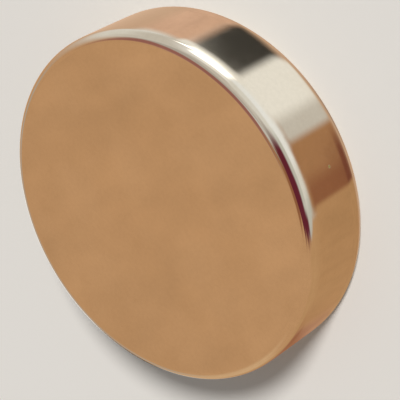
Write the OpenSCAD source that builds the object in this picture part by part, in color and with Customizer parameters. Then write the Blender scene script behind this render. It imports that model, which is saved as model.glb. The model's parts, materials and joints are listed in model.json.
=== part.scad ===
// Cylinder magnet: a flat round disc of sintered magnet alloy with a bright
// nickel skin. It lies on its lower face with its axis upright. It is
// magnetised along that axis, so each flat face is a pole.
// All sizes are in millimetres and are taken over the plating.

/* [Disc] */
// Diameter across the rim
diameter = 20; // [6:0.5:60]
// Thickness from one flat face to the other
thickness = 5; // [2:0.25:30]

/* [Edges] */
// Radius of the tumbled edge between the rim and each flat face
edge_radius = 0.55; // [0.1:0.05:0.9]

/* [Hidden] */

// Facets of a full circle in the preview mesh
$fn = 96;

// Colour of the bright nickel skin
nickel = [0.84, 0.80, 0.74];

// Radius of the rim
rim_radius = diameter / 2;
// Radius of each flat face, up to where its rounded edge begins
face_radius = rim_radius - edge_radius;
// Height of the straight wall between the two rounded edges
wall_height = thickness - 2 * edge_radius;

// Half of the disc's section, from the axis at x = 0 out to the rim
module half_section() {
    // What lies between the two flat faces
    square([face_radius, thickness]);
    // The straight wall of the rim
    translate([0, edge_radius])
        square([rim_radius, wall_height]);
    // The rounded edge at the lower face and at the upper face
    for (edge_centre = [edge_radius, thickness - edge_radius])
        translate([face_radius, edge_centre])
            circle(r = edge_radius);
}

// The magnet is pressed and sintered as one piece, so it is one turned form
module magnet() {
    color(nickel)
        rotate_extrude()
            half_section();
}

magnet();
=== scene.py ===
"""Looks of a nickel-plated cylinder magnet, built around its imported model.

The magnet lies on its lower face, on a plain pale floor. Lengths are in metres, and
angles are written in degrees. Azimuths are counted from +X towards +Y, elevations
from level. A mirror shows what stands round it, so the world holds a set of soft
studio cards that only mirror rays see. The floor and the shadow are lit by plain
white light.
"""

import json
from math import cos, pi, radians, sin

import bpy
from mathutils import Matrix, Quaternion, Vector, noise


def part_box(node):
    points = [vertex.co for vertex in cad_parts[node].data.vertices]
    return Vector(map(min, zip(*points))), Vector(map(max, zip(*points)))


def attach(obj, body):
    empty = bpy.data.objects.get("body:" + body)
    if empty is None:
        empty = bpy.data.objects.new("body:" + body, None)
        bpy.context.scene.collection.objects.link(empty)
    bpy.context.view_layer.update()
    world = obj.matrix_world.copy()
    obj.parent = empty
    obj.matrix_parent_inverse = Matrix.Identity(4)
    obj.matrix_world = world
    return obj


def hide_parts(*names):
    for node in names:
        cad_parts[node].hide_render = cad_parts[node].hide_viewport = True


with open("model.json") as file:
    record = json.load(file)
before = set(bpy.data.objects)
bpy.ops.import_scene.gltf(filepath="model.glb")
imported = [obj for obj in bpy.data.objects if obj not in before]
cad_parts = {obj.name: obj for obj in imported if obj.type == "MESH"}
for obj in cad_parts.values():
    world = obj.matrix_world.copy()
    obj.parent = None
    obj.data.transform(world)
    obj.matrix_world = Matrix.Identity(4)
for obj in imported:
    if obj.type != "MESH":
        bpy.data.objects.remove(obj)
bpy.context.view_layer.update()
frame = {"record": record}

MM = 0.001
MICRON = 0.000001

# ---- What the frame says of the magnet ----

NODE = "magnet"


def mount(name):
    """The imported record's mount of that name."""
    return next(m for m in frame["record"]["mounts"] if m["name"] == name)


LOW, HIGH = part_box(NODE)
RADIUS = (HIGH.x - LOW.x) / 2
HEIGHT = HIGH.z - LOW.z
WALL_HEIGHT = mount("rim")["dims"]["length_mm"] * MM
EDGE_RADIUS = (HEIGHT - WALL_HEIGHT) / 2

# ---- The magnet's mesh ----

TURN_STEPS = 360
FACE_RINGS = 24
WALL_RINGS = 10
CORNER_STEPS = 24
CROWN_STEPS = 12
# A ring this close to the rounding keeps the shading of each flat face flat
SUPPORT_GAP = 0.03 * MM
# Tumbling rolls the wall off very slightly where it meets each rounded edge
CROWN_ANGLE = radians(2.5)
CROWN_LENGTH = 0.6 * MM
# The plating is a little wavy, as what the rim mirrors shows
WAVE_LENGTH = 3.2 * MM
WAVE_DEPTH = 2.0 * MICRON


def spread(start, end, steps):
    """Evenly spaced values from start to end, both included."""
    return [start + (end - start) * i / steps for i in range(steps + 1)]


def edge_turn():
    """Points (distance in from the wall, depth under the face) of one edge.

    They run from face to wall. A small arc turns the corner, and a wide one, the crown,
    runs out into the upright wall.
    """
    crown_radius = CROWN_LENGTH / sin(CROWN_ANGLE)
    corner_end = pi / 2 - CROWN_ANGLE
    corner_reach = EDGE_RADIUS - crown_radius * (1 - cos(CROWN_ANGLE))
    corner_radius = corner_reach / sin(corner_end)
    corner_depth = corner_radius * (1 - cos(corner_end))
    corner = [
        (EDGE_RADIUS - corner_radius * sin(t), corner_radius * (1 - cos(t)))
        for t in spread(0, corner_end, CORNER_STEPS)
    ]
    crown = [
        (crown_radius * (1 - sin(t)), corner_depth + CROWN_LENGTH - crown_radius * cos(t))
        for t in spread(corner_end, pi / 2, CROWN_STEPS)
    ]
    return corner + crown[1:]


def half_section():
    """Points (radius, height) of the outline, from the lower face round to the upper."""
    flat = RADIUS - EDGE_RADIUS
    rings = spread(0, flat, FACE_RINGS)[1:-1] + [flat - SUPPORT_GAP]
    turn = edge_turn()
    depth = turn[-1][1]
    wall = spread(depth, HEIGHT - depth, WALL_RINGS)[1:-1]
    lower_edge = [(RADIUS - inset, z) for inset, z in turn]
    upper_edge = [(r, HEIGHT - z) for r, z in reversed(lower_edge)]
    lower_face = [(r, 0.0) for r in rings]
    upper_face = [(r, HEIGHT) for r in reversed(rings)]
    return lower_face + lower_edge + [(RADIUS, z) for z in wall] + upper_edge + upper_face


def waved(point):
    """The point moved inwards by the slight waviness of ground and tumbled plating."""
    flat = RADIUS - EDGE_RADIUS
    reach = Vector((point.x, point.y, 0))
    core = reach.normalized() * min(reach.length, flat)
    core.z = min(max(point.z, EDGE_RADIUS), HEIGHT - EDGE_RADIUS)
    outward = (point - core).normalized()
    # The noise runs from -1 to 1
    share = 0.5 + 0.5 * noise.noise(point / WAVE_LENGTH)
    return point - outward * WAVE_DEPTH * share


def turned_disc():
    """The plated disc as one closed mesh, turned from its half section."""
    section = half_section()
    places = [Vector((0, 0, 0))]
    for r, z in section:
        for step in range(TURN_STEPS):
            angle = 2 * pi * step / TURN_STEPS
            places.append(waved(Vector((r * cos(angle), r * sin(angle), z))))
    places.append(Vector((0, 0, HEIGHT)))

    def at(ring, step):
        """The number of a ring's point. Number 0 is the middle of the lower face."""
        return 1 + ring * TURN_STEPS + step % TURN_STEPS

    top = len(places) - 1
    last = len(section) - 1
    faces = []
    for step in range(TURN_STEPS):
        faces.append((0, at(0, step + 1), at(0, step)))
        faces.append((top, at(last, step), at(last, step + 1)))
        for ring in range(last):
            this_ring = (at(ring, step), at(ring, step + 1))
            next_ring = (at(ring + 1, step + 1), at(ring + 1, step))
            faces.append(this_ring + next_ring)
    mesh = bpy.data.meshes.new("plated_disc")
    mesh.from_pydata(places, [], faces)
    mesh.shade_smooth()
    disc = bpy.data.objects.new("plated_disc", mesh)
    bpy.context.scene.collection.objects.link(disc)
    return disc


# ---- Node trees ----

# Where a Mix node keeps its colour sockets, whose names its other sockets share
MIX_FIRST = 6
MIX_SECOND = 7
MIX_RESULT = 2


class Graph:
    """Adds nodes to one tree. An input is a number, a colour or another node's output."""

    def __init__(self, owner):
        owner.use_nodes = True
        self.tree = owner.node_tree
        self.tree.nodes.clear()

    def add(self, kind, inputs=None, **settings):
        """A new node with those settings, its inputs set or linked by name or number."""
        node = self.tree.nodes.new(kind)
        for name, value in settings.items():
            setattr(node, name, value)
        for key, value in (inputs or {}).items():
            if isinstance(value, bpy.types.NodeSocket):
                self.tree.links.new(value, node.inputs[key])
            else:
                node.inputs[key].default_value = value
        return node

    def math(self, operation, *values):
        """The result of a Math node."""
        inputs = dict(enumerate(values))
        return self.add("ShaderNodeMath", inputs, operation=operation).outputs[0]

    def vector_math(self, operation, first, second):
        """A Vector Math node's outputs, which are a vector and a number."""
        inputs = {0: first, 1: second}
        return self.add("ShaderNodeVectorMath", inputs, operation=operation).outputs

    def ramp(self, value, start, end, low=0.0, high=1.0):
        """low at start and high at end, with a smooth step between them."""
        inputs = {
            "Value": value,
            "From Min": start,
            "From Max": end,
            "To Min": low,
            "To Max": high,
        }
        return self.add("ShaderNodeMapRange", inputs, interpolation_type="SMOOTHSTEP").outputs[0]

    def swing(self, value, span, contrast):
        """A factor from a little under 1 to a little over it, as value crosses its span."""
        return self.ramp(value, *span, 1 - contrast, 1 + contrast)

    def mix(self, share, first, second):
        """The first colour turning into the second as share goes from 0 to 1."""
        inputs = {"Factor": share, MIX_FIRST: colour(first), MIX_SECOND: colour(second)}
        return self.add("ShaderNodeMix", inputs, data_type="RGBA").outputs[MIX_RESULT]

    def scale(self, tint, by):
        """The colour times a number."""
        inputs = {0: tint, "Scale": by}
        return self.add("ShaderNodeVectorMath", inputs, operation="SCALE").outputs[0]

    def noise(self, vector, scale, detail, roughness):
        """A noise value from 0 to 1."""
        inputs = {"Vector": vector, "Scale": scale, "Detail": detail, "Roughness": roughness}
        return self.add("ShaderNodeTexNoise", inputs).outputs[0]


def colour(value):
    """A colour as a node takes it: a socket as it is, and three numbers with an alpha."""
    return value if isinstance(value, bpy.types.NodeSocket) else (*value, 1.0)


# ---- The studio that the mirror sees ----

# The even light from all round that falls on the floor, and that mirror rays don't see
ROOM_LIGHT = 0.26
# Where the plain part of the studio is brightest, and its colours there and opposite
SWEEP_AZIMUTH = -40
SWEEP_BRIGHT = (1.0, 0.985, 0.95)
SWEEP_DIM = (0.56, 0.55, 0.53)
# How far to each side of the middle the sweep and the ceiling change, in a world of radius 1
SWEEP_REACH = 0.6
CEILING_REACH = 0.11
# Limits past a half turn, straight down and straight up, where a card shows no soft edge
ALL_ROUND = (-200, 200)
LOWEST = -95
HIGHEST = 95
# Cards that stand on the floor or the table end here, where later cards cover their feet
FOOT = -60
TABLE_FOOT = -70

# What the cards are painted with: the pale colours, the browns, the dark ones, the ceiling
WINDOW = (3.2, 3.15, 3.0)
BLIND = (1.18, 1.16, 1.10)
DAYLIGHT = (1.10, 1.13, 1.13)
SUNLIT = (1.11, 1.09, 1.02)
LINEN = (0.93, 0.92, 0.86)
PLASTER = (0.76, 0.72, 0.65)
STONE = (0.69, 0.70, 0.64)
ASH = (0.56, 0.52, 0.47)
KRAFT_LIT = (0.82, 0.54, 0.31)
KRAFT = (0.69, 0.405, 0.21)
KRAFT_SHADE = (0.65, 0.385, 0.19)
BEECH = (0.84, 0.54, 0.375)
BOARDS = (0.73, 0.49, 0.33)
OAK = (0.59, 0.335, 0.16)
CHESTNUT = (0.51, 0.265, 0.125)
RUSSET = (0.40, 0.17, 0.14)
WALNUT = (0.37, 0.155, 0.075)
UMBER = (0.25, 0.085, 0.05)
MAROON = (0.165, 0.026, 0.043)
SHADOW = (0.22, 0.19, 0.16)
CHARCOAL = (0.06, 0.056, 0.048)
CEILING_LIT = (0.74, 0.70, 0.63)
CEILING_DIM = (0.36, 0.26, 0.19)

# The mottling of brown card and the grain of wood: scale, detail and roughness of each noise
CLOUD_NOISE = (30.0, 3.0, 0.5)
FIBRE_NOISE = (110.0, 3.0, 0.65)
FLECK_NOISE = (95.0, 2.0, 0.5)
WOOD_NOISE = (9.0, 4.0, 0.6)
# Where most of a noise's values lie, and the low ones that make a fleck
MIDDLE_RANGE = (0.3, 0.7)
FLECK_RANGE = (0.36, 0.26)
# How much each lightens and darkens, and how dark a fleck is and how much of that it takes
CLOUD_CONTRAST = 0.04
FIBRE_CONTRAST = 0.1
WOOD_CONTRAST = 0.07
FLECK_SHADE = 0.6
FLECK_SHARE = 0.4
# Wood is streaked, because its noise changes 16 times as fast upwards as along
WOOD_STRETCH = (1, 1, 16)


def times(tint, by):
    """The three numbers of a colour, each times the same number."""
    return [channel * by for channel in tint]


def fibres(graph, direction, tint):
    """A colour mottled as brown card is, by clouds, fibres and short dark flecks."""
    cloud = graph.ramp(graph.noise(direction, *CLOUD_NOISE), *MIDDLE_RANGE)
    fibre = graph.noise(direction, *FIBRE_NOISE)
    fleck = graph.noise(direction, *FLECK_NOISE)
    shade = graph.mix(cloud, times(tint, 1 - CLOUD_CONTRAST), times(tint, 1 + CLOUD_CONTRAST))
    shade = graph.scale(shade, graph.swing(fibre, MIDDLE_RANGE, FIBRE_CONTRAST))
    share = graph.ramp(fleck, *FLECK_RANGE, 0.0, FLECK_SHARE)
    return graph.mix(share, shade, times(tint, FLECK_SHADE))


def wood_grain(graph, direction, tint):
    """A colour streaked along the level, as the edge of a wooden table is."""
    along = graph.vector_math("MULTIPLY", direction, WOOD_STRETCH)[0]
    grain = graph.noise(along, *WOOD_NOISE)
    return graph.scale(tint, graph.swing(grain, MIDDLE_RANGE, WOOD_CONTRAST))


class Studio:
    """The cards round the magnet, each a soft-edged patch of direction with a colour."""

    def __init__(self, graph):
        self.graph = graph
        self.direction = graph.add("ShaderNodeTexCoord").outputs["Generated"]
        split = graph.add("ShaderNodeSeparateXYZ", {0: self.direction}).outputs
        self.across = split["X"]
        self.azimuth = graph.math("DEGREES", graph.math("ARCTAN2", split["Y"], split["X"]))
        self.elevation = graph.math("DEGREES", graph.math("ARCSINE", split["Z"]))
        towards = (cos(radians(SWEEP_AZIMUTH)), sin(radians(SWEEP_AZIMUTH)), 0.0)
        along = graph.vector_math("DOT_PRODUCT", self.direction, towards)["Value"]
        share = graph.ramp(along, -SWEEP_REACH, SWEEP_REACH)
        self.seen = graph.mix(share, SWEEP_DIM, SWEEP_BRIGHT)

    def ceiling(self):
        """The ceiling's colour, brighter towards +X."""
        share = self.graph.ramp(self.across, -CEILING_REACH, CEILING_REACH)
        return self.graph.mix(share, CEILING_DIM, CEILING_LIT)

    def card(self, tint, azimuth, elevation, soft):
        """Lays a card over what is there, between two azimuths and two elevations.

        soft is how far its edges fade on each side, in azimuth and in elevation.
        """
        graph = self.graph
        start, end = azimuth
        low, high = elevation
        aside, above = soft
        half = (end - start) / 2
        turn = graph.math("SUBTRACT", self.azimuth, (start + end) / 2)
        turn = graph.math("WRAP", turn, 180.0, -180.0)
        side = graph.ramp(graph.math("ABSOLUTE", turn), half - aside, half + aside, 1.0, 0.0)
        foot = graph.ramp(self.elevation, low - above, low + above)
        head = graph.ramp(self.elevation, high - above, high + above, 1.0, 0.0)
        share = graph.math("MULTIPLY", side, graph.math("MULTIPLY", foot, head))
        self.seen = graph.mix(share, self.seen, tint)


def overhead_cards(studio):
    """Two grey cards high in front and to the right, and a dark beam over the rest."""
    studio.card(ASH, (-70, 40), (36, 80), (10, 8))
    studio.card(PLASTER, (-80, -16), (36, 68), (8, 8))
    studio.card(WALNUT, (80, 268), (56, HIGHEST), (10, 5))


def brown_card_behind(studio):
    """The brown card that the upper face mirrors, dark along its foot and its upper border."""
    # The card, and the light on it
    kraft = fibres(studio.graph, studio.direction, KRAFT)
    studio.card(kraft, (38, 160), (FOOT, 56), (24, 5))
    studio.card(kraft, (94, 216), (FOOT, 68.5), (3, 3.5))
    kraft_lit = fibres(studio.graph, studio.direction, KRAFT_LIT)
    studio.card(kraft_lit, (112, 146), (-34, 32), (10, 12))
    # Its foot, darker downwards
    studio.card(KRAFT_SHADE, (118, 218), (FOOT, -10), (8, 8))
    studio.card(CHESTNUT, (94, 150), (FOOT, -30), (12, 10))
    studio.card(RUSSET, (96, 132), (FOOT, -38), (8, 5))
    # Its upper border
    studio.card(RUSSET, (20, 62), (42, 60), (8, 6))
    studio.card(RUSSET, (18, 91), (54, 90), (10, 4))
    studio.card(CHESTNUT, (84, 110), (67, 80), (8, 5))


def strips_behind(studio):
    """Low behind the magnet, a grey band, and under it a pale wall with two strips on it."""
    studio.card(ASH, (56, 112), (8, 22), (10, 5))
    studio.card(PLASTER, (75, 112), (-38, -7), (5, 4))
    studio.card(DAYLIGHT, (80, 98), (-38, -7), (2, 4))
    studio.card(CHARCOAL, (98, 107), (-38, -7), (2, 4))


def room_in_front(studio):
    """The pale walls and curtains of the room in front of the magnet."""
    # The wall on the right
    studio.card(PLASTER, (-17, 24), (FOOT, 38), (8, 10))
    studio.card(LINEN, (8, 30), (FOOT, 18), (8, 12))
    # The wall straight in front, brighter low down
    studio.card(LINEN, (-98, -46), (FOOT, 46), (4, 10))
    studio.card(DAYLIGHT, (-96, -46), (FOOT, 2), (5, 10))
    studio.card(ASH, (-100, -72), (42, 76), (8, 7))
    # The curtains on the left, and the brown post beside them
    studio.card(KRAFT_SHADE, (-163, -147), (FOOT, 14), (5, 8))
    studio.card(STONE, (-140, -92), (FOOT, 26), (4, 6))
    studio.card(LINEN, (-127, -92), (FOOT, 26), (7, 6))
    studio.card(DAYLIGHT, (-107, -86), (FOOT, 30), (6, 8))
    studio.card(STONE, (-128, -86), (-8, 30), (6, 9))


def maroon_drape(studio):
    """A dark red drape that hangs from the ceiling, and the ceiling over it."""
    studio.card(MAROON, (-163, -101), (48, 80), (5, 6))
    studio.card(MAROON, (-151.5, -112), (23, 58), (5, 11))
    studio.card(MAROON, (-135, -86.5), (26, 76), (10, 10))
    studio.card(MAROON, (-145, -131), (5, 38), (5, 10))
    studio.card(studio.ceiling(), ALL_ROUND, (84, HIGHEST), (1, 2))


def window_cards(studio):
    """The pale blind, the window under it, and the dimmer sill."""
    studio.card(BLIND, (-48, -28), (FOOT, 34), (4, 6))
    studio.card(WINDOW, (-48, -25), (-27, 9), (4, 6))
    studio.card(WINDOW, (-44.5, -9.5), (FOOT, -27), (4, 6))
    studio.card(SUNLIT, (-50, 0), (FOOT, -43.9), (4, 1.6))


def table_edge(studio):
    """The table's edge and what lies along it, as the upright wall of the rim mirrors them."""
    # The wood on the left, dark along its edges
    studio.card(OAK, (-139, -98), (TABLE_FOOT, -44.7), (4, 1.2))
    studio.card(WALNUT, (-141, -90), (TABLE_FOOT, -45.7), (1.2, 1.9))
    studio.card(CHESTNUT, (-121, -70), (TABLE_FOOT, -45.7), (8, 1.9))
    studio.card(UMBER, (-146, -106), (TABLE_FOOT, -50.0), (12, 1.2))
    # The long side behind, with a dark line over a part of it
    oak = wood_grain(studio.graph, studio.direction, OAK)
    studio.card(oak, (96, 221.8), (TABLE_FOOT, -45.4), (2.4, 3))
    studio.card(WALNUT, (96, 132), (-45.3, -42), (6, 0.5))
    # The sunlit paper in front, and the dark box beside it
    studio.card(PLASTER, (-95, -50), (TABLE_FOOT, -45.9), (3.6, 2.5))
    studio.card(SUNLIT, (-79, -34), (TABLE_FOOT, -43.5), (6, 3))
    studio.card(CHARCOAL, (-42.2, 0), (TABLE_FOOT, -46.5), (4.8, 1.7))
    # The pale wood on the right
    beech = wood_grain(studio.graph, studio.direction, BEECH)
    studio.card(beech, (-4.5, 72), (TABLE_FOOT, -44.6), (6, 1.7))
    studio.card(SUNLIT, (-8.5, 1), (-46.4, -43.4), (3, 1.2))
    studio.card(BOARDS, (32, 90), (TABLE_FOOT, -42), (9, 3))


def boards_below(studio):
    """The floor under the table's edge, dark where the magnet keeps the light off it."""
    studio.card(BOARDS, ALL_ROUND, (LOWEST, -54.4), (2, 1.6))
    studio.card(BOARDS, (-46, -2), (LOWEST, -52.4), (6, 2.4))
    studio.card(SHADOW, ALL_ROUND, (LOWEST, -82), (2, 5))


def mirrored_studio(graph):
    """The colour that a mirror ray finds in each direction. Later cards cover earlier ones."""
    studio = Studio(graph)
    overhead_cards(studio)
    brown_card_behind(studio)
    strips_behind(studio)
    room_in_front(studio)
    maroon_drape(studio)
    window_cards(studio)
    table_edge(studio)
    boards_below(studio)
    return studio.seen


def studio_world():
    """Even light for the floor, a pale backdrop for the camera and cards for mirror rays."""
    world = bpy.data.worlds.new("studio")
    graph = Graph(world)
    ray = graph.add("ShaderNodeLightPath").outputs
    light = graph.mix(ray["Is Glossy Ray"], [ROOM_LIGHT] * 3, mirrored_studio(graph))
    shown = graph.mix(ray["Is Camera Ray"], light, FLOOR)
    background = graph.add("ShaderNodeBackground", {"Color": shown, "Strength": 1.0})
    graph.add("ShaderNodeOutputWorld", {"Surface": background.outputs[0]})
    bpy.context.scene.world = world


# ---- Materials ----

# Colours are in linear light
FLOOR = (0.80, 0.765, 0.715)
NICKEL = (0.66, 0.61, 0.53)
NICKEL_BRIGHT = (0.69, 0.645, 0.57)
NICKEL_DULL = (0.60, 0.545, 0.455)
SPECK_COLOUR = (0.235, 0.19, 0.05)
# A single olive speck of dust clings to the rim, and fades beyond SPECK_SOLID of its radius
SPECK_PLACE = (-2.47 * MM, -9.69 * MM, 2.11 * MM)
SPECK_RADIUS = 0.10 * MM
SPECK_SOLID = 0.6
# Each noise's scale, in waves a metre, detail and roughness
TONE_NOISE = (260.0, 3.0, 0.5)
SMUDGE_NOISE = (420.0, 4.0, 0.6)
GRAIN_NOISE = (4200.0, 3.0, 0.6)
# The values of each noise between which its effect comes in
TONE_RANGE = (0.35, 0.65)
SMUDGE_RANGE = (0.55, 0.75)
BLUR_RANGE = (0.45, 0.75)
GRAIN_RANGE = (0.25, 0.75)
# How much of the dull colour a smudge takes, and how much the grain lightens and darkens
SMUDGE_SHARE = 0.3
GRAIN_CONTRAST = 0.018
# How rough the mirror is where it is clean and where it is smudged, and what the grain adds
ROUGHNESS_CLEAN = 0.045
ROUGHNESS_SMUDGED = 0.075
ROUGHNESS_GRAIN = 0.015


def nickel_plating():
    """Bright nickel: a mirror with faint smudges, a fine grain and one speck of dust."""
    material = bpy.data.materials.new("nickel_plating")
    graph = Graph(material)
    place = graph.add("ShaderNodeTexCoord").outputs["Object"]
    tone = graph.noise(place, *TONE_NOISE)
    smudge = graph.noise(place, *SMUDGE_NOISE)
    grain = graph.noise(place, *GRAIN_NOISE)
    skin = graph.mix(graph.ramp(tone, *TONE_RANGE), NICKEL, NICKEL_BRIGHT)
    skin = graph.mix(graph.ramp(smudge, *SMUDGE_RANGE, 0.0, SMUDGE_SHARE), skin, NICKEL_DULL)
    skin = graph.scale(skin, graph.swing(grain, GRAIN_RANGE, GRAIN_CONTRAST))
    reach = graph.vector_math("DISTANCE", place, SPECK_PLACE)["Value"]
    speck = graph.ramp(reach, SPECK_RADIUS * SPECK_SOLID, SPECK_RADIUS, 1.0, 0.0)
    skin = graph.mix(speck, skin, SPECK_COLOUR)
    metal = graph.math("SUBTRACT", 1.0, speck)
    rough = graph.ramp(smudge, *BLUR_RANGE, ROUGHNESS_CLEAN, ROUGHNESS_SMUDGED)
    rough = graph.math("ADD", rough, graph.math("MULTIPLY", grain, ROUGHNESS_GRAIN))
    shader = graph.add(
        "ShaderNodeBsdfPrincipled",
        {"Base Color": skin, "Metallic": metal, "Roughness": rough},
    )
    graph.add("ShaderNodeOutputMaterial", {"Surface": shader.outputs[0]})
    return material


def floor_paper():
    """The plain pale floor."""
    material = bpy.data.materials.new("floor_paper")
    graph = Graph(material)
    shader = graph.add("ShaderNodeBsdfDiffuse", {"Color": colour(FLOOR)})
    graph.add("ShaderNodeOutputMaterial", {"Surface": shader.outputs[0]})
    return material


# ---- Floor, light and camera ----

FLOOR_SIZE = 6.0
KEY_AZIMUTH = -66
KEY_ELEVATION = 40
KEY_STRENGTH = 3.1
KEY_SPREAD = 12

# The camera looks down at the upper face, and is rolled as the photographed magnet stood
CAMERA_PLACE = Vector((0.0, -68.88, 70.48)) * MM
CAMERA_AIM = Vector((-0.65, -3.41, 5.0)) * MM
CAMERA_ROLL = -120.7
CAMERA_LENS = 160.9
CLIP_START = 5 * MM


def pale_floor():
    """A wide level sheet at the magnet's lower face. It isn't mirrored: the cards are."""
    bpy.ops.mesh.primitive_plane_add(size=FLOOR_SIZE, location=(0, 0, LOW.z))
    floor = bpy.context.object
    floor.name = "floor"
    floor.data.materials.append(floor_paper())
    floor.visible_glossy = False


def key_light():
    """A soft sun lamp from the camera's side, which puts the shadow behind the magnet."""
    data = bpy.data.lights.new("key", "SUN")
    data.energy = KEY_STRENGTH
    data.angle = radians(KEY_SPREAD)
    lamp = bpy.data.objects.new("key", data)
    bpy.context.scene.collection.objects.link(lamp)
    azimuth = radians(KEY_AZIMUTH)
    level = cos(radians(KEY_ELEVATION))
    source = Vector((level * cos(azimuth), level * sin(azimuth), sin(radians(KEY_ELEVATION))))
    lamp.rotation_euler = source.to_track_quat("Z", "Y").to_euler()
    lamp.visible_glossy = False


def camera():
    """The camera at the photograph's angle to the magnet."""
    data = bpy.data.cameras.new("camera")
    data.lens = CAMERA_LENS
    data.clip_start = CLIP_START
    eye = bpy.data.objects.new("camera", data)
    bpy.context.scene.collection.objects.link(eye)
    eye.location = CAMERA_PLACE
    look = (CAMERA_AIM - CAMERA_PLACE).to_track_quat("-Z", "Y")
    roll = Quaternion(Vector((0, 0, 1)), radians(CAMERA_ROLL))
    eye.rotation_mode = "QUATERNION"
    eye.rotation_quaternion = look @ roll
    bpy.context.scene.camera = eye


disc = turned_disc()
disc.data.materials.append(nickel_plating())
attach(disc, "root")
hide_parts(NODE)
pale_floor()
key_light()
studio_world()
camera()
bpy.context.scene.view_settings.view_transform = "Standard"
